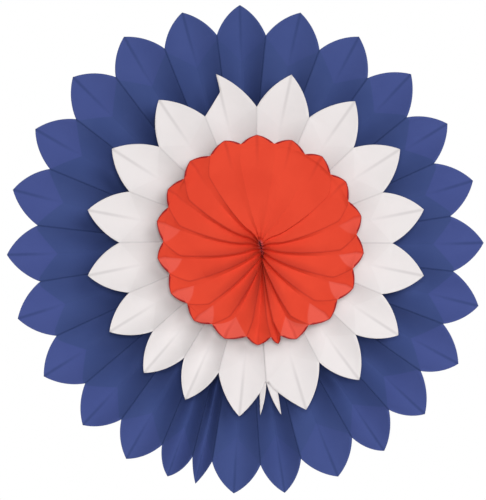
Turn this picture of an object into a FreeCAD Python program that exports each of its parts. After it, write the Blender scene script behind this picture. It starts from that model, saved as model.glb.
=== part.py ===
import FreeCAD, Part
import Sketcher
import math
import os

# A paper fan rosette: three pleated paper fans with petal-cut rims, one in front of the
# other. It faces -Y, hangs with +Z up, and its origin is the middle of the back disc's
# rear face, where it is fixed. Lengths are in millimetres and angles in degrees.

Vector = FreeCAD.Vector

os.makedirs("parts", exist_ok=True)
document = FreeCAD.newDocument("paper_fan_rosette")

# Driving dimensions

driving_sizes = [
    ("paper_thickness", 0.3, "sheet, thicker than the real paper so that it is a solid"),
    ("seat_gap", 0.1, "room between a glued piece and its seat"),
    ("outer_tip_radius", 203.0, "hub centre to petal tip"),
    ("outer_notch_radius", 178.0, "hub centre to the notch between two petals"),
    ("outer_tip_oval", 0.0157, "share by which the tips are further out one way, nearer across"),
    ("outer_notch_oval", 0.0215, "the same for the notches"),
    ("outer_oval_bearing", 19.0, "the way in which the rim is longest"),
    ("outer_rim_depth", 4.0, "front fold to back fold at the widest petal's notches"),
    ("outer_hub_radius", 5.0, "open bore that the gathered pleats leave"),
    ("outer_petal_bulge", 3.2, "how far a petal's edge bows out"),
    ("outer_seam_shortfall", 3.2, "how much less far out the narrow seam petal's tip is"),
    ("middle_tip_radius", 143.9, "hub centre to petal tip"),
    ("middle_notch_radius", 113.5, "hub centre to the notch between two petals"),
    ("middle_tip_oval", 0.005, "share by which the tips are further out one way, nearer across"),
    ("middle_notch_oval", -0.004, "the same for the notches"),
    ("middle_oval_bearing", 0.0, "the way in which the rim is longest"),
    ("middle_rim_depth", 4.0, "front fold to back fold at the widest petal's notches"),
    ("middle_hub_radius", 4.2, "open bore that the gathered pleats leave"),
    ("middle_petal_bulge", 3.4, "how far a petal's edge bows out"),
    ("middle_seam_shortfall", 0.0, "how much less far out the narrow seam petals' tips are"),
    ("inner_tip_radius", 87.4, "hub centre to petal tip"),
    ("inner_notch_radius", 80.9, "hub centre to the notch between two petals"),
    ("inner_tip_oval", 0.008, "share by which the tips are further out one way, nearer across"),
    ("inner_notch_oval", 0.008, "the same for the notches"),
    ("inner_oval_bearing", 30.0, "the way in which the rim is longest"),
    ("inner_rim_depth", 6.0, "front fold to back fold at the widest petal's notches"),
    ("inner_hub_radius", 4.2, "open bore that the gathered pleats leave"),
    ("inner_petal_bulge", 1.2, "how far a petal's edge bows out"),
    ("inner_seam_shortfall", 0.0, "how much less far out the narrow seam petal's tip is"),
    ("seam_pleat_depth", 14.0, "front fold to back fold of a seam pleat at the notches"),
    ("middle_shift_across", 8.8, "middle hub beside the outer hub"),
    ("middle_shift_up", 6.1, "middle hub above the outer hub"),
    ("inner_shift_across", 3.4, "inner hub beside the middle hub"),
    ("inner_shift_up", 1.8, "inner hub above the middle hub"),
    ("bond_pad_radius", 13.0, "round double-sided pads between the fans"),
    ("bond_pad_thickness", 1.0, "round double-sided pads between the fans"),
    ("back_disc_radius", 20.0, "card over the back of the outer hub"),
    ("back_disc_thickness", 0.8, "card over the back of the outer hub"),
    ("glue_recess", 4.0, "front of a hub's glue behind the front of its pleats"),
    ("inner_glue_recess", 11.0, "the same in the inner fan, whose bore shows"),
]

# Each sheet was fanned out by hand, so its petals are unevenly spread and some lean. These
# are the bearings of the notches, from the seam once around to the seam, and those of the
# tips, which begin with the narrow petals in the seam. A bearing is counted from straight
# down and grows towards +X.
notch_bearings = {
    "outer": [
        -8.9, 4.0, 14.9, 29.6, 41.9, 55.3, 69.4, 84.0, 99.2, 114.5, 129.3, 144.5, 159.6,
        174.5, 187.6, 201.9, 216.9, 232.4, 247.6, 263.4, 278.9, 294.6, 309.9, 323.9, 336.9,
        345.7,
    ],
    "middle": [
        4.6, 27.8, 47.2, 67.6, 89.6, 111.4, 134.0, 156.8, 179.6, 202.0, 225.4, 248.3, 270.2,
        291.7, 310.8, 328.2, 344.0, 363.4,
    ],
    "inner": [
        12.2, 29.8, 52.2, 73.0, 93.3, 113.8, 132.8, 152.2, 171.6, 191.3, 210.8, 231.0, 250.2,
        270.9, 290.2, 311.2, 330.3, 352.1, 366.4,
    ],
}
tip_bearings = {
    "outer": [
        -12.0, -2.7, 9.2, 22.2, 34.6, 47.5, 61.8, 76.4, 91.6, 106.8, 121.9, 136.6, 151.9,
        166.9, 181.3, 194.9, 209.7, 225.0, 240.2, 255.6, 271.3, 286.9, 302.2, 317.2, 330.4,
        341.1,
    ],
    "middle": [
        1.7, 7.6, 16.7, 36.9, 56.9, 78.7, 101.0, 122.8, 144.9, 168.0, 193.3, 214.3, 237.0,
        259.2, 281.2, 301.5, 319.4, 335.9, 354.6,
    ],
    "inner": [
        10.0, 20.2, 41.6, 62.7, 82.8, 103.4, 124.0, 143.2, 162.3, 181.8, 199.9, 221.5, 241.2,
        259.8, 280.0, 301.0, 320.7, 340.2, 358.8,
    ],
}
for end_name, all_bearings in (("notch", notch_bearings), ("tip", tip_bearings)):
    for fan_name, bearings in all_bearings.items():
        for number, bearing in enumerate(bearings):
            driving_sizes.append((
                "{}_{}_{}".format(fan_name, end_name, number), bearing, "bearing of a " + end_name,
            ))

# Sizes that follow from the driving dimensions

derived_sizes = []
for fan_name, bearings in notch_bearings.items():
    widest = max(after - before for before, after in zip(bearings, bearings[1:]))
    derived_sizes.append((
        fan_name + "_widest_petal", round(widest, 3), "angle between its two notches",
    ))
    derived_sizes.append((
        fan_name + "_rim_chord",
        "=2 * {0}_notch_radius * (1 + abs({0}_notch_oval)) * sin({0}_widest_petal * 0.25 deg)"
        .format(fan_name),
        "front fold to back fold of the widest petal, seen from the front",
    ))
    derived_sizes.append((
        fan_name + "_panel_width",
        "=sqrt({0}_rim_chord * {0}_rim_chord + {0}_rim_depth * {0}_rim_depth)".format(fan_name),
        "paper between two folds, and the depth of the gathered hub",
    ))
derived_sizes += [
    ("outer_back", "=0 - back_disc_thickness - seat_gap", "rear of the outer hub"),
    ("outer_front", "=outer_back - outer_panel_width", "front of the outer hub"),
    ("rear_pad_back", "=outer_front - seat_gap", "rear face of the rear pad"),
    ("middle_back", "=rear_pad_back - bond_pad_thickness - seat_gap", "rear of the middle hub"),
    ("middle_front", "=middle_back - middle_panel_width", "front of the middle hub"),
    ("front_pad_back", "=middle_front - seat_gap", "rear face of the front pad"),
    ("inner_back", "=front_pad_back - bond_pad_thickness - seat_gap", "rear of the inner hub"),
    ("inner_front", "=inner_back - inner_panel_width", "front of the inner hub"),
    ("inner_across", "=middle_shift_across + inner_shift_across", "inner hub from the origin"),
    ("inner_up", "=middle_shift_up + inner_shift_up", "inner hub from the origin"),
]

sizes = document.addObject("Spreadsheet::Sheet", "Sizes")
for row, (alias, value, meaning) in enumerate(driving_sizes + derived_sizes, start=1):
    sizes.set("A{}".format(row), meaning)
    sizes.set("B{}".format(row), str(value))
    sizes.setAlias("B{}".format(row), alias)
document.recompute()

# How finely the curved folds and the petals' edges are divided

FOLD_STEPS = 6
FOLD_CROWDING = 1.6
EDGE_STEPS = 6

# A petal's tip goes on as its fold runs over this many steps before the notches.

TIP_LEAD_STEPS = 3


def size(alias):
    return float(sizes.get(alias))


# A round outline is drawn with this radius before the sheet of sizes sets its own.

DRAWN_RADIUS = 10.0


# The pleated sheet

# A fold is a list of points from the bore to the notches. Even folds are ridges, which
# face the front, and odd folds are valleys, which end in a petal's tip.


def towards(bearing):
    turned = math.radians(bearing)
    return Vector(math.sin(turned), 0, -math.cos(turned))


def seam_petal_count(fan_name):
    """How many narrow petals the seam hides between the last notch and the first."""
    return len(tip_bearings[fan_name]) - len(notch_bearings[fan_name]) + 1


def fold_bearings(fan_name):
    """The bearing of each fold at the notches, beginning with the seam's first ridge."""
    notches = [
        size("{}_notch_{}".format(fan_name, number))
        for number in range(len(notch_bearings[fan_name]))
    ]
    seam_petals = seam_petal_count(fan_name)
    seam_start = notches[-1] - 360
    seam_gap = notches[0] - seam_start
    ridges = [seam_start + seam_gap * petal / seam_petals for petal in range(seam_petals)]
    ridges += notches[:-1]
    bearings = []
    for number, ridge in enumerate(ridges):
        bearings.append(ridge)
        bearings.append(size("{}_tip_{}".format(fan_name, number)))
    return bearings


def rim_point(fan_name, kind, bearing):
    """A notch or a tip as seen from the front. Both rims are slightly oval."""
    radius = size("{}_{}_radius".format(fan_name, kind))
    oval = size("{}_{}_oval".format(fan_name, kind))
    turned = math.radians(bearing - size(fan_name + "_oval_bearing"))
    return towards(bearing) * (radius * (1 + oval * math.cos(2 * turned)))


def fold_plans(fan_name):
    """Every fold as seen from the front: straight from the bore to its place at the rim."""
    hub_radius = size(fan_name + "_hub_radius")
    seam_petals = seam_petal_count(fan_name)
    bearings = fold_bearings(fan_name)
    hub_step = 360.0 / len(bearings)
    hub_start = (bearings[0] + bearings[2 * seam_petals]) / 2 - seam_petals * hub_step
    plans = []
    for number, bearing in enumerate(bearings):
        hub_end = towards(hub_start + number * hub_step) * hub_radius
        rim_end = rim_point(fan_name, "notch", bearing)
        plan = []
        for step in range(FOLD_STEPS + 1):
            along = 1 - (1 - step / FOLD_STEPS) ** FOLD_CROWDING
            plan.append(hub_end + (rim_end - hub_end) * along)
        plans.append(plan)
    return plans


def fold_lines(fan_name):
    """The middle of the paper along every fold, around the hub's own middle plane. The
    paper between two folds keeps its width, so a pleat is deep where its folds are near
    each other and shallow where they lie far apart. The seam's ridges are level."""
    panel_width = size(fan_name + "_panel_width")
    seam_depth = size("seam_pleat_depth")
    seam_petals = seam_petal_count(fan_name)
    folds = fold_plans(fan_name)
    count = len(folds)
    full = range(2 * seam_petals + 1, count, 2)
    for step in range(FOLD_STEPS + 1):
        pleats = {}
        for number in full:
            valley = folds[number][step]
            before = (valley - folds[number - 1][step]).Length
            after = (valley - folds[(number + 1) % count][step]).Length
            pleats[number] = math.sqrt(panel_width ** 2 - ((before + after) / 2) ** 2)
        share = (step / FOLD_STEPS) ** 2
        for number in range(1, 2 * seam_petals, 2):
            pleats[number] = panel_width + (seam_depth - panel_width) * share
        for number in range(1, count, 2):
            folds[number][step].y = pleats[number] / 2
            next_pleat = pleats[(number + 2) % count]
            folds[(number + 1) % count][step].y = -(pleats[number] + next_pleat) / 4
        for number in range(0, 2 * seam_petals + 1, 2):
            folds[number][step].y = -pleats[1] / 2
    return folds


def petal_tips(fan_name, folds):
    """From each valley's end at the notches to the tip of its petal. The tip lies as far
    forward or back as the fold's own run would bring it."""
    tips = {}
    bearings = fold_bearings(fan_name)
    for number in range(1, len(folds), 2):
        base = folds[number][FOLD_STEPS]
        outward = rim_point(fan_name, "tip", bearings[number])
        if number < 2 * seam_petal_count(fan_name):
            outward = outward - towards(bearings[number]) * size(fan_name + "_seam_shortfall")
        outward = outward - Vector(base.x, 0, base.z)
        run = base - folds[number][FOLD_STEPS - TIP_LEAD_STEPS]
        outward.y = run.y * outward.Length / math.hypot(run.x, run.z)
        tips[number] = outward
    return tips


def petal_edge(across, along, bulge):
    """Shares of a petal's half width and length along the arc from its tip to a notch."""
    half_chord = math.hypot(across, along) / 2
    radius = (half_chord ** 2 + bulge ** 2) / (2 * bulge)
    half_turn = math.asin(half_chord / radius)
    middle = Vector(across / 2, along / 2, 0)
    outward = Vector(along, across, 0).normalize()
    onward = Vector(across, -along, 0).normalize()
    centre = middle + outward * (bulge - radius)
    shares = []
    for step in range(1, EDGE_STEPS):
        turn = half_turn * (2 * step / EDGE_STEPS - 1)
        point = centre + (outward * math.cos(turn) + onward * math.sin(turn)) * radius
        shares.append((point.x / across, point.y / along))
    return shares


def mitre(normal_a, normal_b):
    return (normal_a + normal_b) * (1 / (1 + normal_a.dot(normal_b)))


class Facets:
    """Triangles of one closed solid, wound so that they face outward."""

    def __init__(self):
        self.points = []
        self.triangles = []
        self.known = {}

    def index(self, point):
        key = (round(point.x, 6), round(point.y, 6), round(point.z, 6))
        if key not in self.known:
            self.known[key] = len(self.points)
            self.points.append(point)
        return self.known[key]

    def add(self, *corners):
        numbers = [self.index(corner) for corner in corners]
        for second in range(1, len(numbers) - 1):
            triangle = (numbers[0], numbers[second], numbers[second + 1])
            if len(set(triangle)) == 3:
                self.triangles.append(triangle)

    def solid(self):
        shape = Part.Shape()
        shape.makeShapeFromMesh((self.points, self.triangles), 0.0001)
        return Part.Solid(Part.Shell(shape.Faces))


def fold_corners(point, before, after, is_ridge, half):
    """The paper's front and back beside a fold: front before, front after, back before,
    back after. The outside of the fold is blunt and its inside is sharp."""
    if is_ridge:
        inside = point - mitre(before, after) * half
        return point + before * half, point + after * half, inside, inside
    inside = point + mitre(before, after) * half
    return inside, inside, point - before * half, point - after * half


def pleated_sheet(fan_name):
    """The whole fan as one solid: pleats, and the petals beyond the notches."""
    half = size("paper_thickness") / 2
    bulge = size(fan_name + "_petal_bulge")
    folds = fold_lines(fan_name)
    tips = petal_tips(fan_name, folds)
    count = len(folds)
    last = FOLD_STEPS

    normals = []
    for number in range(count):
        after = (number + 1) % count
        valley = number if number % 2 == 1 else after
        panel = []
        for step in range(last + 1):
            across = folds[after][step] - folds[number][step]
            if step == last:
                outward = tips[valley]
            else:
                outward = folds[after][step + 1] + folds[number][step + 1]
                outward = outward - folds[after][step] - folds[number][step]
            panel.append(outward.cross(across).normalize())
        normals.append(panel)

    def corners(number, step, offset=Vector()):
        before = normals[number - 1][step]
        after = normals[number][step]
        return fold_corners(folds[number][step] + offset, before, after, number % 2 == 0, half)

    facets = Facets()
    for number in range(count):
        after = (number + 1) % count
        is_ridge = number % 2 == 0

        # the panel from this fold to the next, and the blunt outside of this fold
        for step in range(last):
            here = corners(number, step)
            there = corners(after, step)
            here_out = corners(number, step + 1)
            there_out = corners(after, step + 1)
            facets.add(here[1], here_out[1], there_out[0], there[0])
            facets.add(here[3], there[2], there_out[2], here_out[3])
            facets.add(here[0], here_out[0], here_out[1], here[1])
            facets.add(here[2], here[3], here_out[3], here_out[2])

        # the edge around the bore
        here = corners(number, 0)
        there = corners(after, 0)
        facets.add(here[1], there[0], there[2], here[3])
        if is_ridge:
            facets.add(here[0], here[1], here[2])
        else:
            facets.add(here[0], here[3], here[2])

        # half a petal, with its cut edge
        valley = number if number % 2 == 1 else after
        ridge = after if number % 2 == 1 else number
        base = folds[valley][last]
        reach = folds[ridge][last] - base
        normal = normals[number][last] * half
        tip = corners(valley, last, tips[valley])
        root = corners(valley, last)
        notch = corners(ridge, last)
        side = 1 if valley == number else 0
        edge = petal_edge(reach.Length, tips[valley].Length, bulge)
        middle = [base + reach * share[0] + tips[valley] * share[1] for share in edge]
        front = [tip[side]] + [point + normal for point in middle] + [notch[1 - side]]
        back = [tip[2 + side]] + [point - normal for point in middle] + [notch[3 - side]]
        if side == 1:
            facets.add(root[side], *front)
            facets.add(root[2 + side], *reversed(back))
        else:
            facets.add(root[side], *reversed(front))
            facets.add(root[2 + side], *back)
        for step in range(EDGE_STEPS):
            strip = [front[step], back[step], back[step + 1], front[step + 1]]
            facets.add(*(strip if side == 1 else reversed(strip)))

        # the ends of this fold
        if is_ridge:
            here = corners(number, last)
            facets.add(here[0], here[2], here[1])
        else:
            here = corners(number, last)
            out = corners(number, last, tips[number])
            facets.add(here[2], here[3], out[3], out[2])
            facets.add(out[0], out[2], out[3])
    return facets.solid()


# Sub-parts


def place(feature, across, depth, up):
    """Ties a sub-part's place to the sheet of sizes."""
    feature.setExpression("Placement.Base.x", across)
    feature.setExpression("Placement.Base.y", depth)
    feature.setExpression("Placement.Base.z", up)


def add_fan(fan_name, across, up):
    fan = document.addObject("Part::Feature", fan_name + "_fan")
    fan.Label = fan_name + "_fan"
    fan.Shape = pleated_sheet(fan_name)
    depth = "(Sizes.{0}_back + Sizes.{0}_front) / 2".format(fan_name)
    place(fan, across, depth, up)
    return fan


def add_round_pad(label, radius, thickness, across, depth, up):
    """A flat round piece whose rear face lies at the given depth."""
    body = document.addObject("PartDesign::Body", label)
    body.Label = label
    sketch = body.newObject("Sketcher::SketchObject", label + "_outline")
    for plane in body.Origin.OriginFeatures:
        if plane.Role == "XZ_Plane":
            sketch.AttachmentSupport = [(plane, "")]
    sketch.MapMode = "FlatFace"
    first_circle = Part.Circle(Vector(0, 0, 0), Vector(0, 0, 1), DRAWN_RADIUS)
    circle = sketch.addGeometry(first_circle, False)
    sketch.addConstraint(Sketcher.Constraint("Coincident", circle, 3, -1, 1))
    radius_rule = sketch.addConstraint(Sketcher.Constraint("Radius", circle, DRAWN_RADIUS))
    sketch.setExpression("Constraints[{}]".format(radius_rule), radius)
    pad = body.newObject("PartDesign::Pad", label + "_pad")
    pad.Profile = sketch
    pad.setExpression("Length", thickness)
    place(body, across, depth, up)
    return body


def add_hub_glue(fan_name, recess, across, up):
    """The glue in a fan's bore. It begins level with the rear of the pleats."""
    radius = "Sizes.{}_hub_radius - Sizes.seat_gap".format(fan_name)
    length = "Sizes.{}_panel_width - {}".format(fan_name, recess)
    depth = "Sizes.{}_back".format(fan_name)
    return add_round_pad(fan_name + "_hub_glue", radius, length, across, depth, up)


origin = "0"
middle_across = "Sizes.middle_shift_across"
middle_up = "Sizes.middle_shift_up"
inner_across = "Sizes.inner_across"
inner_up = "Sizes.inner_up"

subparts = [
    add_fan("outer", origin, origin),
    add_fan("middle", middle_across, middle_up),
    add_fan("inner", inner_across, inner_up),
    add_hub_glue("outer", "Sizes.glue_recess", origin, origin),
    add_hub_glue("middle", "Sizes.glue_recess", middle_across, middle_up),
    add_hub_glue("inner", "Sizes.inner_glue_recess", inner_across, inner_up),
    add_round_pad(
        "rear_bond_pad", "Sizes.bond_pad_radius", "Sizes.bond_pad_thickness",
        "Sizes.middle_shift_across / 2", "Sizes.rear_pad_back", "Sizes.middle_shift_up / 2",
    ),
    add_round_pad(
        "front_bond_pad", "Sizes.bond_pad_radius", "Sizes.bond_pad_thickness",
        "Sizes.middle_shift_across + Sizes.inner_shift_across / 2", "Sizes.front_pad_back",
        "Sizes.middle_shift_up + Sizes.inner_shift_up / 2",
    ),
    add_round_pad(
        "back_disc", "Sizes.back_disc_radius", "Sizes.back_disc_thickness",
        origin, origin, origin,
    ),
]
document.recompute()

# Checks, then one file for each sub-part

for item in document.Objects:
    if "Invalid" in item.State or "Error" in item.State:
        raise RuntimeError(item.Label + " failed: " + str(item.State))
for subpart in subparts:
    shape = subpart.Shape
    if shape.isNull() or not shape.isValid() or len(shape.Solids) != 1:
        raise RuntimeError(subpart.Label + " is not one valid solid")
    if shape.Volume <= 0:
        raise RuntimeError(subpart.Label + " is inside out")
    shape.exportStep("parts/{}.step".format(subpart.Label))
    print(subpart.Label, "{:.1f} cubic mm".format(shape.Volume), len(shape.Faces), "faces")
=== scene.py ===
import math

import bmesh
import bpy
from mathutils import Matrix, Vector, noise


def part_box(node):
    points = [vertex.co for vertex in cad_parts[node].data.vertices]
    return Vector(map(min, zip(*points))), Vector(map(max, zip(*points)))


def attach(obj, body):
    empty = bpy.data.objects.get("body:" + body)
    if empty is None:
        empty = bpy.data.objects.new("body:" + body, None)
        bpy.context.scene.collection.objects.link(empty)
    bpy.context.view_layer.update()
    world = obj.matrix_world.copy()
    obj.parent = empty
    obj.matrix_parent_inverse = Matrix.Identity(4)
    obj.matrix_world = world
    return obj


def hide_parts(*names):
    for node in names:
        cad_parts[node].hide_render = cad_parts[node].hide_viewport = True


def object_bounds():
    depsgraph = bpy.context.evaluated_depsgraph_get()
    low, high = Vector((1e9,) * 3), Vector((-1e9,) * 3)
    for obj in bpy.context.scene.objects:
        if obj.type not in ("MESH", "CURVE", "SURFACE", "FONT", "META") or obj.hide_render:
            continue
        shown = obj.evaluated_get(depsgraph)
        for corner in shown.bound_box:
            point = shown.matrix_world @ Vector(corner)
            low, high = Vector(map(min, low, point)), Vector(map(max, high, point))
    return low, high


# The looks of a paper fan rosette: three pleated sheets of thin paper with petal-cut rims,
# one in front of the other. The frame gives each fan's hub, its depth and the small parts
# behind it. Lengths are in metres and bearings in degrees. A bearing is counted from
# straight down and grows towards +X.

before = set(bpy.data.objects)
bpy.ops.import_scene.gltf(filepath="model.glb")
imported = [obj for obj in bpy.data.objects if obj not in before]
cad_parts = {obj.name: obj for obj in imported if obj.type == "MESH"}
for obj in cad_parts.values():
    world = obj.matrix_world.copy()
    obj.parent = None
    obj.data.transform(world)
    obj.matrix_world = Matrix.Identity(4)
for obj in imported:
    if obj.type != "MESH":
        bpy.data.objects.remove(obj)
frame_low, frame_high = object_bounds()

MM = 0.001
FRONT = Vector((0, -1, 0))

# The sheets

# Radii are counted from the fan's own hub, and an oval is the share by which they grow
# towards the oval's bearing. The bore is given by its half width and half height, and
# bore_place by how far it lies aside of the hub and above it. A bulge is how far a petal's
# edge stands out from the straight line between its notch and its tip. The seam's pleats
# are seam_depth deep at the rim, and its notches may lie further out than the others.
# depth_share is how much of its true depth a straight pleat keeps near the rim. Cupping is
# the power by which a panel gets steeper from its valley to its ridge. Lean and swirl are
# the most degrees by which a ridge lies over and a fold turns about the hub. flap_reach is
# how far inside the notches the paper still lies single, beside the valley. A clipped half
# petal, named by its petal and its side, has its corner bent back, and the number is how
# far up its valley the bend ends. Petals are counted from the seam, and those in the seam
# have negative numbers.

PAPER_THICKNESS = 0.14 * MM

FANS = {
    "outer": {
        "piece": "blue_paper_fan",
        "slot": "blue_paper",
        "tip_radius": 203.0 * MM,
        "notch_radius": 178.0 * MM,
        "tip_oval": 0.0157,
        "notch_oval": 0.0215,
        "oval_bearing": 19.0,
        "bore": (5.0 * MM, 5.0 * MM),
        "bore_place": (0.0, 0.0),
        "bulge": 3.2 * MM,
        "bulge_beside_seam": 3.2 * MM,
        "seam_bulge": 1.2 * MM,
        "seam_depth": 14.0 * MM,
        "seam_notch_out": 0.0,
        "depth_share": 0.8,
        "seam_closed": False,
        "cupping": 1.7,
        "lean": 0.0,
        "swirl": 0.0,
        "flap_reach": 20.0 * MM,
        "clipped": {},
        "notches": [
            -8.9, 4.0, 14.9, 29.6, 41.9, 55.3, 69.4, 84.0, 99.2, 114.5, 129.3, 144.5, 159.6,
            174.5, 187.6, 201.9, 216.9, 232.4, 247.6, 263.4, 278.9, 294.6, 309.9, 323.9,
            336.9, 345.7,
        ],
        "tips": [
            -2.7, 9.2, 22.2, 34.6, 47.5, 61.8, 76.4, 91.6, 106.8, 121.9, 136.6, 151.9, 166.9,
            181.3, 194.9, 209.7, 225.0, 240.2, 255.6, 271.3, 286.9, 302.2, 317.2, 330.4,
            341.1,
        ],
        "seam_tips": [-12.0],
        "longer_tips": {-1: -3.2 * MM, 1: 1.2 * MM, 10: 1.6 * MM, 24: -2.1 * MM},
    },
    "middle": {
        "piece": "white_paper_fan",
        "slot": "white_paper",
        "tip_radius": 143.9 * MM,
        "notch_radius": 113.5 * MM,
        "tip_oval": 0.005,
        "notch_oval": -0.004,
        "oval_bearing": 0.0,
        "bore": (4.2 * MM, 4.2 * MM),
        "bore_place": (0.0, 0.0),
        "bulge": 3.4 * MM,
        "bulge_beside_seam": 1.7 * MM,
        "seam_bulge": 1.3 * MM,
        "seam_depth": 4.0 * MM,
        "seam_notch_out": 4.4 * MM,
        "depth_share": 0.55,
        "seam_closed": True,
        "cupping": 1.7,
        "lean": 0.0,
        "swirl": 0.0,
        "flap_reach": 16.0 * MM,
        "clipped": {(8, 1): 0.51},
        "notches": [
            4.45, 27.8, 47.2, 67.6, 89.6, 111.4, 134.0, 156.8, 179.6, 202.0, 225.4, 248.3,
            270.2, 291.7, 310.8, 328.2, 344.0, 364.15,
        ],
        "tips": [
            16.7, 36.9, 56.9, 78.7, 101.0, 122.8, 144.9, 168.0, 193.3, 214.3, 237.0, 259.2,
            281.2, 301.5, 319.4, 335.9, 354.6,
        ],
        "seam_tips": [1.5, 8.4],
        "longer_tips": {-1: 1.6 * MM, 0: 1.9 * MM, 2: -1.2 * MM, 7: -1.2 * MM, 16: 1.8 * MM},
    },
    "inner": {
        "piece": "red_paper_fan",
        "slot": "red_paper",
        "tip_radius": 87.4 * MM,
        "notch_radius": 80.9 * MM,
        "tip_oval": 0.008,
        "notch_oval": 0.008,
        "oval_bearing": 30.0,
        "bore": (1.6 * MM, 6.2 * MM),
        "bore_place": (1.2 * MM, -7.2 * MM),
        "bulge": 1.2 * MM,
        "bulge_beside_seam": 1.2 * MM,
        "seam_bulge": 1.2 * MM,
        "seam_depth": 8.0 * MM,
        "seam_notch_out": 0.0,
        "depth_share": 1.0,
        "seam_closed": False,
        "cupping": 1.3,
        "lean": 7.0,
        "swirl": 13.0,
        "flap_reach": 14.0 * MM,
        "clipped": {},
        "notches": [
            12.2, 29.8, 52.2, 73.0, 93.3, 113.8, 132.8, 152.2, 171.6, 191.3, 210.8, 231.0,
            250.2, 270.9, 290.2, 311.2, 330.3, 352.1, 366.4,
        ],
        "tips": [
            20.2, 41.6, 62.7, 82.8, 103.4, 124.0, 143.2, 162.3, 181.8, 199.9, 221.5, 241.2,
            259.8, 280.0, 301.0, 320.7, 340.2, 358.8,
        ],
        "seam_tips": [10.0],
        "longer_tips": {},
    },
}

# How finely a sheet is divided: rows from the bore to the notches, which lie closer
# together towards the notches, rows from a notch to the tip, and columns from one fold to
# the next. A petal goes on at the slope of its valley's last stretch, the lead. Points on
# the same fine step are one point. A fold of more than SHARP_FOLD_ANGLE stays sharp.

PANEL_ROWS = 30
PETAL_ROWS = 14
COLUMNS = 8
ROW_CROWDING = 1.4
TIP_LEAD_SHARE = 0.4
POINT_STEPS_PER_METRE = 1e7
SHARP_FOLD_ANGLE = 12

# At the bore the ridges of a closed seam gather, and two of them lie twice this many
# degrees apart. No pleat is shallower than LEAST_DEPTH, a share of its panel's width. A
# straight pleat opens to its own depth_share between these shares of the way to the notches.

CLOSED_SEAM_STEP = 1.0
LEAST_DEPTH = 0.3
OPENING_START = 0.1
OPENING_END = 0.5

# A leaning fan's bore is pinched to a slit, which slants by this share of its height. Its
# valleys start on the slit's middle line. Behind the slit the folds close in a pocket,
# whose bottom is sunk this deep in the front of the glue. Inside the pocket the distance
# from the bore counts as this negative one.

SLIT_SLANT = 0.2
POCKET_IN_GLUE = 1.0 * MM
IN_POCKET = -10 * MM

# A leaning pleat swirls about the hub and lies over its lower neighbour. These are shares
# of the way to the notches: both set in between TURN_START and TURN_FULL, the lean is whole
# at LEAN_FULL, and from LEAN_END the ridge goes back to its notch. Only the pleats nearest
# the top and the bottom lean less: the sine of the bearing is multiplied by LEAN_ALL_ROUND,
# and 1 is a whole lean.

TURN_START = 0.02
TURN_FULL = 0.2
LEAN_FULL = 0.3
LEAN_END = 0.84
LEAN_ALL_ROUND = 1.6

# The leaning pleats are pressed flat. These are the shares of their true depth that are
# left: at the sides, near the top, at the rim from RIM_START on, and at the bore, where the
# top has its own. The shares at the bore give way to the others over FLAT_FROM_BORE. The
# flat top lies about FLATTEST_BEARING. It starts at the first of the two cosines of the
# angle from there and is whole at the second.

FLAT_SIDE = 0.32
FLAT_TOP = 0.06
FLAT_RIM = 0.6
RIM_START = 0.75
FLAT_HUB = 0.5
FLAT_HUB_TOP = 0.12
FLAT_FROM_BORE = 6 * MM
FLATTEST_BEARING = 167.0
FLAT_TOP_EDGE = 0.55
FLAT_TOP_INSIDE = 0.9

# How far hand-folded paper strays from true. The warp grows from WARP_START, a share of the
# way to the notches, and it differs from fan to fan. Each panel also bows by itself.

WARP_SEED = 7
WARP_START = 0.25
WARP_DEPTH = 0.9 * MM
WARP_ASIDE = 0.2 * MM
WARP_LENGTH = 45.0 * MM
WARP_FAN_STEP = 7.3
PANEL_BOW = 0.5 * MM
BOW_FOLD_STEP = 3.1
BOW_FAN_STEP = 5.7
BOW_ALONG = 2

noise.seed_set(WARP_SEED)


def towards(bearing):
    angle = math.radians(bearing)
    return Vector((math.sin(angle), 0, -math.cos(angle)))


def smooth(low, high, value):
    share = min(max((value - low) / (high - low), 0), 1)
    return share * share * (3 - 2 * share)


def leans(fan):
    return fan["lean"] > 0


def seam_fold_count(fan):
    return 2 * len(fan["seam_tips"])


def oval_factor(fan, oval, bearing):
    """How much longer or shorter a radius of the fan is along this bearing."""
    return 1 + fan[oval] * math.cos(2 * math.radians(bearing - fan["oval_bearing"]))


def fold_bearings(fan):
    """The bearing of each fold at the notches. Even folds are ridges and odd folds end in
    a petal's tip. The seam comes first."""
    notches = fan["notches"]
    seam_start = notches[-1] - 360
    seam_gap = notches[0] - seam_start
    seam_tips = fan["seam_tips"]
    bearings = []
    for number, tip in enumerate(seam_tips):
        bearings.append(seam_start + seam_gap * number / len(seam_tips))
        bearings.append(tip)
    for notch, tip in zip(notches, fan["tips"]):
        bearings.append(notch)
        bearings.append(tip)
    return bearings


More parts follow.
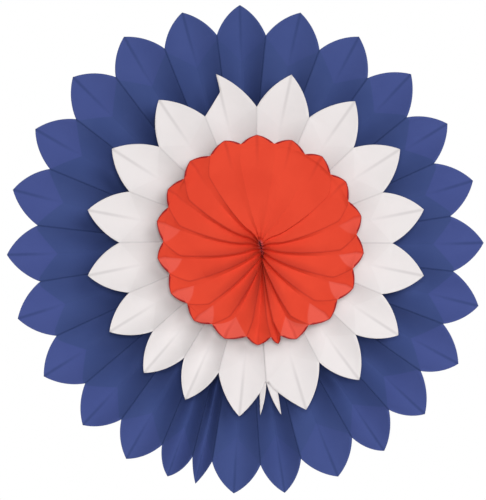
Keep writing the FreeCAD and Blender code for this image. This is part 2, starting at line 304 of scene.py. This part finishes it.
def fold_plans(fan, bearings):
    """Every fold as seen from the front, straight from the bore to its place at the rim. A
    leaning fan's folds start one point earlier, at the bottom of the pocket."""
    seam_folds = seam_fold_count(fan)
    hub_step = 360.0 / len(bearings)
    hub_start = (bearings[0] + bearings[seam_folds]) / 2 - seam_folds / 2 * hub_step
    bore_across, bore_up = fan["bore"]
    bore_aside, bore_rise = fan["bore_place"]
    plans = []
    for number, bearing in enumerate(bearings):
        seam_ridge = number % 2 == 0 and number <= seam_folds
        hub_bearing = hub_start + number * hub_step
        if fan["seam_closed"] and seam_ridge:
            from_middle = (number - seam_folds / 2) * CLOSED_SEAM_STEP
            hub_bearing = hub_start + seam_folds / 2 * hub_step + from_middle
        direction = towards(hub_bearing)
        across, up = direction.x * bore_across, direction.z * bore_up
        middle = bore_aside - up * SLIT_SLANT if leans(fan) else bore_aside
        hub_end = Vector((middle + across, 0, up + bore_rise))
        plan = []
        if leans(fan):
            bottom = Vector((middle, 0, up + bore_rise))
            plan.append(bottom)
            if number % 2 == 1:
                hub_end = bottom
        further = fan["seam_notch_out"] if seam_ridge else 0.0
        rim_radius = fan["notch_radius"] * oval_factor(fan, "notch_oval", bearing) + further
        rim_end = towards(bearing) * rim_radius
        steps = PANEL_ROWS - len(plan)
        for row in range(steps + 1):
            along = 1 - (1 - row / steps) ** ROW_CROWDING
            plan.append(hub_end + (rim_end - hub_end) * along)
        plans.append(plan)
    return plans


def turned(point, angle):
    """A point turned about the hub, towards greater bearings."""
    radians = math.radians(angle)
    across = point.x * math.cos(radians) - point.z * math.sin(radians)
    up = point.x * math.sin(radians) + point.z * math.cos(radians)
    return Vector((across, point.y, up))


def lean_over(fan, folds, bearings):
    """Soft pleats hang away from the top: every fold swirls a little about the hub, and
    the ridges lie over the valleys below them."""
    for number, bearing in enumerate(bearings):
        side = -LEAN_ALL_ROUND * math.sin(math.radians(bearing))
        side = min(max(side, -1), 1)
        for row in range(1, PANEL_ROWS):
            point = folds[number][row]
            reach = math.hypot(point.x, point.z) / fan["notch_radius"]
            angle = fan["swirl"] * (1 - min(reach, 1))
            if number % 2 == 0:
                rise = smooth(0, LEAN_FULL, reach)
                fall = 1 - max(reach - LEAN_END, 0) / (1 - LEAN_END)
                angle += fan["lean"] * rise * max(fall, 0)
            angle *= smooth(TURN_START, TURN_FULL, reach)
            folds[number][row] = turned(point, angle * side)


def in_flat_top(fan, bearing):
    """1 where a leaning fan is pressed nearly smooth, 0 elsewhere."""
    if not leans(fan):
        return 0.0
    return smooth(FLAT_TOP_EDGE, FLAT_TOP_INSIDE, math.cos(math.radians(bearing - FLATTEST_BEARING)))


def flatness(fan, bearing, reach, from_bore):
    """The share of a pleat's true depth that is left. Leaning pleats are the flattest, and
    most of all near the top."""
    if not leans(fan):
        return 1 + (fan["depth_share"] - 1) * smooth(OPENING_START, OPENING_END, reach)
    top = in_flat_top(fan, bearing)
    left = FLAT_SIDE + (FLAT_TOP - FLAT_SIDE) * top
    at_rim = FLAT_RIM + (FLAT_TOP - FLAT_RIM) * top
    at_hub = FLAT_HUB + (FLAT_HUB_TOP - FLAT_HUB) * top
    left += (at_rim - left) * smooth(RIM_START, 1.0, reach)
    return at_hub + (left - at_hub) * smooth(0.0, FLAT_FROM_BORE, from_bore)


def pleat_depths(fan, folds, row, panel_width):
    """How deep each pleat is in one row, by the number of its valley. The paper between two
    folds keeps its width, so a pleat is deep where its folds are near each other and
    shallow where they lie far apart."""
    count = len(folds)
    seam_folds = seam_fold_count(fan)
    least = LEAST_DEPTH * panel_width
    pleats = {}
    for number in range(seam_folds + 1, count, 2):
        valley = folds[number][row]
        before = (valley - folds[number - 1][row]).length
        after = (valley - folds[(number + 1) % count][row]).length
        chord = max(before, after) if leans(fan) else (before + after) / 2
        pleats[number] = math.sqrt(max(panel_width ** 2 - chord ** 2, least ** 2))
    out = smooth(0, 1, row / PANEL_ROWS)
    for number in range(1, seam_folds, 2):
        pleats[number] = panel_width + (fan["seam_depth"] - panel_width) * out
    return pleats


def give_depth(fan, folds, panel_width, bearings, pocket_bottom):
    """Puts the ridges forward and the valleys back. The seam's ridges are level, and a
    leaning fan's folds start at the bottom of the pocket."""
    count = len(folds)
    for row in range(PANEL_ROWS + 1):
        pleats = pleat_depths(fan, folds, row, panel_width)
        depths = {}
        for number in range(1, count, 2):
            next_pleat = pleats[(number + 2) % count]
            depths[(number + 1) % count] = -(pleats[number] + next_pleat) / 4
        for number in range(0, seam_fold_count(fan) + 1, 2):
            depths[number] = -pleats[1] / 2
        for number in range(1, count, 2):
            place = folds[number][row]
            reach = math.hypot(place.x, place.z) / fan["notch_radius"]
            front = (depths[number - 1] + depths[(number + 1) % count]) / 2
            from_bore = (place - folds[number][0]).xz.length
            left = flatness(fan, bearings[number], reach, from_bore)
            depths[number] = front + (pleats[number] / 2 - front) * left
        for number, depth in depths.items():
            folds[number][row].y = depth
    if leans(fan):
        for fold in folds:
            fold[0].y = pocket_bottom


def tip_ways(fan, folds, bearings):
    """The way from the end of each valley to its petal's tip, by the valley's number."""
    lead = int(PANEL_ROWS * (1 - TIP_LEAD_SHARE))
    ways = {}
    for number in range(1, len(folds), 2):
        petal = (number - seam_fold_count(fan)) // 2
        longer = fan["longer_tips"].get(petal, 0)
        tip_radius = fan["tip_radius"] * oval_factor(fan, "tip_oval", bearings[number]) + longer
        base = folds[number][PANEL_ROWS]
        way = towards(bearings[number]) * tip_radius - base
        way.y = 0
        run = base - folds[number][lead]
        way.y = run.y * way.length / math.hypot(run.x, run.z)
        ways[number] = way
    return ways


def sheet_point(valley, ridge, share, cupping):
    """A point of a panel, a share of the way from its valley to its ridge. Petals are
    cupped: nearly level beside the valley and steep beside the ridge."""
    point = valley + (ridge - valley) * share
    point.y = valley.y + (ridge.y - valley.y) * share ** cupping
    return point


def bowed_forward(bow, share):
    """How a point of a panel moves when the panel's middle stands forward by the bow."""
    return FRONT * (bow * 4 * share * (1 - share))


def petal_edge(across, along, bulge):
    """How wide half a petal is, as a share of its width at the notch, at even steps from
    the notch to the tip. Its edge is an arc."""
    half_chord = math.hypot(across, along) / 2
    radius = (half_chord ** 2 + bulge ** 2) / (2 * bulge)
    outward = Vector((along, across)).normalized()
    centre = Vector((across / 2, along / 2)) + outward * (bulge - radius)
    shares = []
    for row in range(PETAL_ROWS + 1):
        height = along * row / PETAL_ROWS
        wide = centre.x + math.sqrt(max(radius ** 2 - (height - centre.y) ** 2, 0))
        shares.append(max(wide / across, 0))
    shares[-1] = 0
    return shares


def clipped_edge(shares, kink):
    """The same for a half whose outer part is bent back along a straight line, from its
    notch to a kink part of the way along the valley."""
    kept = []
    for row, share in enumerate(shares):
        kept.append(min(share, max(1 - row / PETAL_ROWS / kink, 0)))
        if kept[-1] == 0:
            break
    return kept


def warped(point, fan_number, notch_radius):
    """A point of the true sheet, moved as uneven paper would be."""
    reach = smooth(WARP_START, 1.0, math.hypot(point.x, point.z) / notch_radius)
    where = point / WARP_LENGTH + Vector((fan_number * WARP_FAN_STEP, 0, 0))
    stray = noise.noise_vector(where)
    return point + Vector((stray.x * WARP_ASIDE, stray.y * WARP_DEPTH, stray.z * WARP_ASIDE)) * reach


def panel_bow(number, fan_number, out):
    """How far a panel's middle stands forward. Out is the share of the way to its notch."""
    where = Vector((number * BOW_FOLD_STEP, fan_number * BOW_FAN_STEP, out * BOW_ALONG))
    return PANEL_BOW * out * noise.noise(where)


# What each corner of a sheet knows, for the paper's colour: how far it is from its petal's
# valley, from the ridge beside it and from the cut edge, how far beyond the notches, how
# far into the part where the paper lies single, how much painted light shows through the
# single paper there, how sharp its folds are, and how far it is from the bore.

SHEET_VALUES = (
    "from_valley", "from_ridge", "from_edge", "past_notch", "into_flap", "thin", "sharp", "from_bore",
)
FAR_FROM_EDGE = 0.1


class Sheet:
    """A bmesh whose points are shared where two panels meet in a fold."""

    def __init__(self):
        self.mesh = bmesh.new()
        self.known = {}
        self.layers = [self.mesh.loops.layers.float.new(name) for name in SHEET_VALUES]

    def vertex(self, point):
        key = tuple(round(value * POINT_STEPS_PER_METRE) for value in point)
        if key not in self.known:
            self.known[key] = self.mesh.verts.new(point)
        return self.known[key]

    def face(self, corners):
        """Each corner is its point, then the values named above."""
        vertices = []
        values = []
        for corner in corners:
            vertex = self.vertex(corner[0])
            if vertex not in vertices:
                vertices.append(vertex)
                values.append(corner[1:])
        if len(vertices) < 3:
            return
        face = self.mesh.faces.new(vertices)
        face.smooth = True
        for loop, numbers in zip(face.loops, values):
            for layer, number in zip(self.layers, numbers):
                loop[layer] = number

    def faces(self, grid, flipped):
        """The faces between the rows of corners."""
        for inner, outer in zip(grid, grid[1:]):
            for column in range(COLUMNS):
                corners = [inner[column], inner[column + 1], outer[column + 1], outer[column]]
                if flipped:
                    corners.reverse()
                self.face(corners)


# Where the paper lies single it is painted lighter, as painted light that shows through
# the one layer. These are ranges of the sine or the cosine of a petal's bearing in which
# that comes or goes: in the red fan on the half of a petal that faces down, not on the upper
# side, on both halves beside the seam, and not at the bottom itself. In the straight fans
# it is this share at least, and whole at the sides.

FACING_DOWN = (-0.2, 0.2)
BELOW_UPPER_SIDE = (-0.5, 0.0)
BESIDE_SEAM = (0.75, 0.92)
AT_BOTTOM = (0.95, 0.985)
LEAST_LIGHT_THROUGH = 0.25


def light_through_share(fan, bearing, side):
    """How much painted light shows through a half petal where its paper lies single."""
    across = math.sin(math.radians(bearing))
    low = math.cos(math.radians(bearing))
    if not leans(fan):
        return LEAST_LIGHT_THROUGH + (1 - LEAST_LIGHT_THROUGH) * abs(across)
    lower_half = smooth(*FACING_DOWN, -side * across) * smooth(*BELOW_UPPER_SIDE, low)
    beside_seam = smooth(*BESIDE_SEAM, low)
    return max(lower_half, beside_seam) * (1 - smooth(*AT_BOTTOM, low))


def panel_rows(fan, valley_fold, ridge_fold, bows, looks):
    """The corners of a panel from the bore to the notch, row by row."""
    bore_row = 1 if leans(fan) else 0
    rows = []
    for row, (foot, top) in enumerate(zip(valley_fold, ridge_fold)):
        width = (top - foot).length
        past = math.hypot(foot.x, foot.z) - fan["notch_radius"]
        line = []
        for column in range(COLUMNS + 1):
            share = column / COLUMNS
            point = sheet_point(foot, top, share, fan["cupping"])
            point += bowed_forward(bows[row], share)
            into = past + fan["flap_reach"] * (1 - share)
            if row > bore_row:
                from_bore = (point - rows[bore_row][column][0]).length
            else:
                from_bore = 0.0 if row == bore_row else IN_POCKET
            values = (width * share, width * (1 - share), FAR_FROM_EDGE, past, into)
            line.append((point, *values, *looks, from_bore))
        rows.append(line)
    return rows


def petal_rows(fan, base, notch, way, edge, bow, looks):
    """The corners of half a petal beyond its notch, row by row. The edge gives the share of
    the width that is left in each row."""
    width = (notch - base).length
    slant = way.length / math.hypot(width, way.length)
    rows = []
    for row, left in enumerate(edge[1:], start=1):
        past = way.length * row / PETAL_ROWS
        line = []
        for column in range(COLUMNS + 1):
            share = left * column / COLUMNS
            point = sheet_point(base, notch, share, fan["cupping"])
            point += way * (row / PETAL_ROWS)
            point += bowed_forward(bow, share)
            into = past + fan["flap_reach"] * (1 - share)
            from_edge = width * (left - share) * slant
            values = (width * share, width * (1 - share) + past, from_edge, past, into)
            line.append((point, *values, *looks, fan["notch_radius"]))
        rows.append(line)
    return rows


def sheet_piece(fan, name, sheet):
    """The piece that stands for a fan's node, with the paper's thickness."""
    data = bpy.data.meshes.new(fan["piece"])
    sheet.mesh.to_mesh(data)
    sheet.mesh.free()
    data.set_sharp_from_angle(angle=math.radians(SHARP_FOLD_ANGLE))
    piece = bpy.data.objects.new(fan["piece"], data)
    bpy.context.scene.collection.objects.link(piece)
    thickness = piece.modifiers.new("paper_thickness", "SOLIDIFY")
    thickness.thickness = PAPER_THICKNESS
    thickness.offset = 0
    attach(piece, "root")
    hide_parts(name + "_fan")
    return piece


def build_fan(name, fan_number):
    fan = FANS[name]
    low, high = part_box(name + "_fan")
    glue_low, glue_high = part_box(name + "_hub_glue")
    hub = (glue_low + glue_high) / 2
    hub.y = (low.y + high.y) / 2
    bearings = fold_bearings(fan)
    folds = fold_plans(fan, bearings)
    if leans(fan):
        lean_over(fan, folds, bearings)
    give_depth(fan, folds, high.y - low.y, bearings, glue_low.y + POCKET_IN_GLUE - hub.y)
    ways = tip_ways(fan, folds, bearings)
    seam_folds = seam_fold_count(fan)

    sheet = Sheet()
    for number in range(len(folds)):
        after = (number + 1) % len(folds)
        side = 1 if number % 2 == 1 else -1
        valley, ridge = (number, after) if side == 1 else (after, number)
        petal = (valley - seam_folds) // 2
        looks = (light_through_share(fan, bearings[valley], side), 1 - in_flat_top(fan, bearings[valley]))
        bows = [panel_bow(number, fan_number, row / PANEL_ROWS) for row in range(PANEL_ROWS + 1)]
        grid = panel_rows(fan, folds[valley], folds[ridge], bows, looks)

        if petal < 0:
            bulge = fan["seam_bulge"]
        else:
            bulge = fan["bulge_beside_seam"] if ridge <= seam_folds else fan["bulge"]
        base, notch = folds[valley][PANEL_ROWS], folds[ridge][PANEL_ROWS]
        edge = petal_edge((notch - base).length, ways[valley].length, bulge)
        if (petal, side) in fan["clipped"]:
            edge = clipped_edge(edge, fan["clipped"][(petal, side)])
        grid += petal_rows(fan, base, notch, ways[valley], edge, bows[-1], looks)
        placed = [
            [(hub + warped(point, fan_number, fan["notch_radius"]), *values) for point, *values in line]
            for line in grid
        ]
        sheet.faces(placed, flipped=side == -1)
    return sheet_piece(fan, name, sheet)


# Materials


class Nodes:
    """Short ways to add and join shader nodes."""

    def __init__(self, name):
        self.material = bpy.data.materials.new(name)
        self.material.use_nodes = True
        self.tree = self.material.node_tree
        self.shader = self.tree.nodes["Principled BSDF"]
        self.output = self.tree.nodes["Material Output"]

    def link(self, source, target):
        self.tree.links.new(source, target)

    def add(self, kind, **settings):
        node = self.tree.nodes.new(kind)
        for key, value in settings.items():
            setattr(node, key, value)
        return node

    def put(self, socket, value):
        if isinstance(value, bpy.types.NodeSocket):
            self.link(value, socket)
        else:
            socket.default_value = value

    def attribute(self, name):
        return self.add("ShaderNodeAttribute", attribute_name=name).outputs["Fac"]

    def multiply(self, first, second):
        node = self.add("ShaderNodeMath", operation="MULTIPLY")
        self.link(first, node.inputs[0])
        self.link(second, node.inputs[1])
        return node.outputs[0]

    def ramp(self, value, from_low, from_high, to_low=0.0, to_high=1.0):
        node = self.add("ShaderNodeMapRange", interpolation_type="SMOOTHSTEP")
        self.put(node.inputs["Value"], value)
        for socket, number in zip(("From Min", "From Max", "To Min", "To Max"),
                                  (from_low, from_high, to_low, to_high)):
            node.inputs[socket].default_value = number
        return node.outputs["Result"]

    def noise(self, scale, detail=2.0, roughness=0.5, stretch=None):
        node = self.add("ShaderNodeTexNoise")
        node.inputs["Scale"].default_value = scale
        node.inputs["Detail"].default_value = detail
        node.inputs["Roughness"].default_value = roughness
        place = self.add("ShaderNodeTexCoord").outputs["Object"]
        if stretch:
            mapping = self.add("ShaderNodeMapping")
            mapping.inputs["Scale"].default_value = stretch
            self.link(place, mapping.inputs["Vector"])
            place = mapping.outputs["Vector"]
        self.link(place, node.inputs["Vector"])
        return node.outputs["Fac"]

    def mix(self, factor, first, second):
        node = self.add("ShaderNodeMix", data_type="RGBA")
        self.put(node.inputs["Factor"], factor)
        self.put(node.inputs["A"], first)
        self.put(node.inputs["B"], second)
        for output in node.outputs:
            if output.type == "RGBA":
                return output

    def bump(self, height, strength, distance, under=None):
        node = self.add("ShaderNodeBump")
        node.inputs["Strength"].default_value = strength
        node.inputs["Distance"].default_value = distance
        self.link(height, node.inputs["Height"])
        if under:
            self.link(under, node.inputs["Normal"])
        return node.outputs["Normal"]


def colour(code):
    """A colour as the renderer wants it, from its six-digit screen code."""
    values = []
    for start in (0, 2, 4):
        value = int(code[start:start + 2], 16) / 255
        values.append(value / 12.92 if value <= 0.04045 else ((value + 0.055) / 1.055) ** 2.4)
    return (*values, 1.0)


# The papers. Body and deep are the two tones of the pulp, pale is the painted light where
# the paper lies single and light shows through it, and the crease tone is partly the folds'
# own mark and partly painted shade in them. The amounts are how much of the pale tone
# shows, and how much of the crease tone along the ridges.

PAPERS = {
    "blue_paper": {
        "body": "3E4D7F",
        "deep": "3B4A7C",
        "pale": "4A5392",
        "crease_and_shade": "2A3862",
        "pale_amount": 0.5,
        "ridge_amount": 0.8,
    },
    "white_paper": {
        "body": "DCD7D7",
        "deep": "D8D3D3",
        "pale": "E2DEDE",
        "crease_and_shade": "B7B2B3",
        "pale_amount": 0.4,
        "ridge_amount": 0.4,
    },
    "red_paper": {
        "body": "D7452F",
        "deep": "D2412C",
        "pale": "DB5B4D",
        "crease_and_shade": "A82D24",
        "pale_amount": 0.8,
        "ridge_amount": 0.5,
    },
}

# The red paper's cut edge is dark, it is worn pale around the bore, and its pocket is painted dark as
# shade.

RED_EDGE = "8A1A22"
RED_WORN = "C87888"
RED_POCKET_SHADE = "480408"

# Ranges of distance in which a tone fades: at the border of the single paper, beside a
# valley, along a valley about the notch, beside a ridge, along a ridge from the bore, at
# the cut edge, in the painted shade under a leaning ridge, which ends before the notches
# and starts away from the bore, in the worn ring and in the painted shade of the pocket.

FLAP_BORDER = (-0.8 * MM, 0.8 * MM)
BESIDE_VALLEY = (0.1 * MM, 2.2 * MM)
ALONG_VALLEY = (-25 * MM, 15 * MM)
BESIDE_RIDGE = (0.1 * MM, 1.3 * MM)
ALONG_RIDGE = (2 * MM, 22 * MM)
AT_EDGE = (0.7 * MM, 1.4 * MM)
UNDER_RIDGE = (0.2 * MM, 8.0 * MM)
SHADE_END = (-40 * MM, -8 * MM)
SHADE_START = (4 * MM, 24 * MM)
WORN_RING = (0.6 * MM, 2.2 * MM)
POCKET_SHADE_RANGE = (-2.0 * MM, -0.2 * MM)

# How fine the noises of the paper are, per metre, and how the fibres are stretched

MOTTLE_SCALE = 28
PULP_SCALE = 900
FIBRE_SCALE = 1400
RIPPLE_SCALE = 55
ALONG_FIBRES = (1.0, 1.0, 0.35)


def leaning_looks(n, base, crease_and_shade):
    """What only the red sheet shows: a dark cut edge, a worn ring about the bore, painted soft
    shade under the leaning ridges and the pocket painted dark as its shade."""
    edge = n.ramp(n.attribute("from_edge"), *AT_EDGE, 0.9, 0.0)
    base = n.mix(edge, base, colour(RED_EDGE))
    worn = n.ramp(n.attribute("from_bore"), *WORN_RING, 0.35, 0.0)
    base = n.mix(worn, base, colour(RED_WORN))
    # painted shade under each leaning ridge, on the half petals that face down, in the crease tone
    shade = n.ramp(n.attribute("from_ridge"), *UNDER_RIDGE, 0.42, 0.0)
    shade = n.multiply(shade, n.attribute("thin"))
    inside = n.ramp(n.attribute("past_notch"), *SHADE_END, 1.0, 0.0)
    inside = n.multiply(inside, n.ramp(n.attribute("from_bore"), *SHADE_START))
    base = n.mix(n.multiply(shade, inside), base, crease_and_shade)
    # painted shade: the pocket behind the slit is painted nearly black
    pocket = n.ramp(n.attribute("from_bore"), *POCKET_SHADE_RANGE, 0.95, 0.0)
    return n.mix(pocket, base, colour(RED_POCKET_SHADE))


def paper_material(name):
    """Thin matte paper: mottled pulp, fine fibres, soft creases that are partly painted shade,
    and painted lighter where one layer lies single, as painted light through it."""
    paper = PAPERS[name]
    deep = colour(paper["deep"])
    crease_and_shade = colour(paper["crease_and_shade"])
    n = Nodes(name)
    mottle = n.ramp(n.noise(MOTTLE_SCALE, 3), 0.35, 0.65)
    base = n.mix(mottle, colour(paper["body"]), deep)

    # painted light: paler where the paper lies single, standing in for light that shows through one
    # layer
    flap = n.ramp(n.attribute("into_flap"), *FLAP_BORDER, 0.0, paper["pale_amount"])
    base = n.mix(n.multiply(flap, n.attribute("thin")), base, colour(paper["pale"]))

    # creases, partly the folds' own mark and partly painted shade in them: soft along the valley,
    # fading inward, and narrower along the ridge
    valley = n.ramp(n.attribute("from_valley"), *BESIDE_VALLEY, 1.0, 0.0)
    outer_part = n.ramp(n.attribute("past_notch"), *ALONG_VALLEY, 0.0, 0.5)
    base = n.mix(n.multiply(valley, outer_part), base, crease_and_shade)
    ridge = n.ramp(n.attribute("from_ridge"), *BESIDE_RIDGE, paper["ridge_amount"], 0.0)
    ridge = n.multiply(ridge, n.ramp(n.attribute("from_bore"), *ALONG_RIDGE, 0.1, 1.0))
    base = n.mix(n.multiply(ridge, n.attribute("sharp")), base, crease_and_shade)

    pulp = n.noise(PULP_SCALE, 4, 0.6)
    base = n.mix(n.ramp(pulp, 0.3, 0.7, 0.0, 0.10), base, deep)
    if name == "red_paper":
        base = leaning_looks(n, base, crease_and_shade)
    n.link(base, n.shader.inputs["Base Color"])
    n.shader.inputs["Roughness"].default_value = 0.82
    n.shader.inputs["Specular IOR Level"].default_value = 0.06
    fibres = n.bump(n.noise(FIBRE_SCALE, 3, 0.6, ALONG_FIBRES), 0.25, 0.05 * MM)
    ripples = n.bump(n.noise(RIPPLE_SCALE, 2), 0.35, 0.8 * MM, fibres)
    n.link(ripples, n.shader.inputs["Normal"])
    return n.material


def glue_material(name, clear, cloudy):
    """Cloudy hot-melt glue in the two given tones."""
    n = Nodes(name)
    clouds = n.ramp(n.noise(350, 3), 0.3, 0.7)
    n.link(n.mix(clouds, colour(clear), colour(cloudy)), n.shader.inputs["Base Color"])
    n.shader.inputs["Roughness"].default_value = 0.28
    n.link(n.bump(n.noise(260, 2), 0.4, 0.3 * MM), n.shader.inputs["Normal"])
    return n.material


def foam_material():
    """White foam with fine cells."""
    n = Nodes("foam_pad")
    cells = n.add("ShaderNodeTexVoronoi")
    cells.inputs["Scale"].default_value = 1600
    n.link(n.add("ShaderNodeTexCoord").outputs["Object"], cells.inputs["Vector"])
    holes = n.ramp(cells.outputs["Distance"], 0.1, 0.6)
    n.link(n.mix(holes, colour("C9C9C4"), colour("EFEFEA")), n.shader.inputs["Base Color"])
    n.shader.inputs["Roughness"].default_value = 0.9
    n.link(n.bump(holes, 0.5, 0.15 * MM), n.shader.inputs["Normal"])
    return n.material


def card_material():
    """Off-white card with short fibres."""
    n = Nodes("plain_card")
    fibres = n.ramp(n.noise(420, 4, 0.7, (1.0, 1.0, 0.3)), 0.3, 0.7)
    n.link(n.mix(fibres, colour("DDD8CC"), colour("D0CABB")), n.shader.inputs["Base Color"])
    n.shader.inputs["Roughness"].default_value = 0.85
    n.link(n.bump(fibres, 0.3, 0.06 * MM), n.shader.inputs["Normal"])
    return n.material


def dress(target, material):
    target.data.materials.clear()
    target.data.materials.append(material)


for fan_number, name in enumerate(FANS, start=1):
    dress(build_fan(name, fan_number), paper_material(FANS[name]["slot"]))

pale_glue = glue_material("pale_glue", "E6DFC8", "D6CCB0")
foam = foam_material()
for node in ("outer_hub_glue", "middle_hub_glue"):
    dress(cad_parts[node], pale_glue)
# The glue in the red fan's bore is painted dark red: painted shade of the slit it sits in, with the red
# of the paper around it.
dress(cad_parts["inner_hub_glue"], glue_material("red_tinted_glue", "8C2A20", "701C16"))
for node in ("rear_bond_pad", "front_bond_pad"):
    dress(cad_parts[node], foam)
dress(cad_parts["back_disc"], card_material())

# The photograph's view: straight on from the front, from far away. A picture is 486 by
# 500 pixels, and one pixel at the blue hub is 0.842 mm.

IMAGE_WIDTH = 486
IMAGE_HEIGHT = 500
PIXEL = 0.842 * MM
BLUE_HUB_PIXEL = (245.3, 249.5)
CAMERA_DISTANCE = 6.0
SENSOR_WIDTH_IN_MM = 36.0
FARTHEST_SEEN = 100.0

camera_data = bpy.data.cameras.new("camera")
camera = bpy.data.objects.new("camera", camera_data)
bpy.context.scene.collection.objects.link(camera)
bpy.context.scene.camera = camera
camera_data.sensor_width = SENSOR_WIDTH_IN_MM
camera_data.lens = SENSOR_WIDTH_IN_MM * CAMERA_DISTANCE / (IMAGE_HEIGHT * PIXEL)
camera_data.clip_end = FARTHEST_SEEN
camera.location = (
    (IMAGE_WIDTH / 2 - BLUE_HUB_PIXEL[0]) * PIXEL,
    -CAMERA_DISTANCE,
    (BLUE_HUB_PIXEL[1] - IMAGE_HEIGHT / 2) * PIXEL,
)
camera.rotation_euler = (math.radians(90), 0, 0)

# Soft light from above the front, a smaller one straight from the front and one for the
# back. Each has its place, the size of its disc and its watts.

LIGHTS = {
    "key_light": ((1.3, -2.6, 1.0), 1.8, 39),
    "fill_light": ((0.05, -3.4, 0.2), 0.7, 56),
    "back_light": ((-0.8, 2.6, 1.6), 1.6, 70),
}


def area_light(name, place, size, watts):
    data = bpy.data.lights.new(name, "AREA")
    data.shape = "DISK"
    data.size = size
    data.energy = watts
    light = bpy.data.objects.new(name, data)
    light.location = place
    light.rotation_euler = (-Vector(place)).to_track_quat("-Z", "Y").to_euler()
    bpy.context.scene.collection.objects.link(light)


for name, (place, size, watts) in LIGHTS.items():
    area_light(name, place, size, watts)


def looking(tree):
    """1 for the rays that look at the background: straight, in a gloss or through glass."""
    path = tree.nodes.new("ShaderNodeLightPath")
    seen = path.outputs["Is Camera Ray"]
    for kind in ("Is Glossy Ray", "Is Transmission Ray"):
        either = tree.nodes.new("ShaderNodeMath")
        either.operation = "MAXIMUM"
        tree.links.new(seen, either.inputs[0])
        tree.links.new(path.outputs[kind], either.inputs[1])
        seen = either.outputs[0]
    return seen


# The world is white to look at, and lights the object with this strength

WORLD_LIGHT = 0.2

world = bpy.data.worlds.new("studio")
bpy.context.scene.world = world
world.use_nodes = True
links = world.node_tree.links
background = world.node_tree.nodes["Background"]
level = world.node_tree.nodes.new("ShaderNodeMapRange")
level.inputs["To Min"].default_value = WORLD_LIGHT
level.inputs["To Max"].default_value = 1.0
links.new(looking(world.node_tree), level.inputs["Value"])
links.new(level.outputs["Result"], background.inputs["Strength"])
background.inputs["Color"].default_value = (1, 1, 1, 1)

# A round pale floor below the object. Near it the floor keeps the shadow, with this share
# of plain white, and further out it is all white.

FLOOR_LEVEL = frame_low.z - 45 * MM
FLOOR_RADIUS = 1.2
FLOOR_FADE = (0.3, 1.0)
WHITE_NEAR = 0.55


def floor_material():
    n = Nodes("pale_floor")
    n.link(n.mix(n.noise(6, 2), colour("F2F1EF"), colour("ECEBE9")), n.shader.inputs["Base Color"])
    n.shader.inputs["Roughness"].default_value = 0.9
    white = n.add("ShaderNodeEmission")
    white.inputs["Strength"].default_value = 1.0
    place = n.add("ShaderNodeTexCoord").outputs["Object"]
    length = n.add("ShaderNodeVectorMath", operation="LENGTH")
    n.link(place, length.inputs[0])
    far = n.ramp(length.outputs["Value"], *FLOOR_FADE, WHITE_NEAR, 1.0)
    blend = n.add("ShaderNodeMixShader")
    n.link(n.multiply(far, looking(n.tree)), blend.inputs[0])
    n.link(n.shader.outputs[0], blend.inputs[1])
    n.link(white.outputs[0], blend.inputs[2])
    n.link(blend.outputs[0], n.output.inputs["Surface"])
    return n.material


floor_mesh = bpy.data.meshes.new("floor")
floor_shape = bmesh.new()
bmesh.ops.create_circle(floor_shape, cap_ends=True, segments=96, radius=FLOOR_RADIUS)
floor_shape.to_mesh(floor_mesh)
floor_shape.free()
floor = bpy.data.objects.new("floor", floor_mesh)
floor.location = (0, 0, FLOOR_LEVEL)
floor_mesh.materials.append(floor_material())
bpy.context.scene.collection.objects.link(floor)

bpy.context.scene.view_settings.view_transform = "Standard"
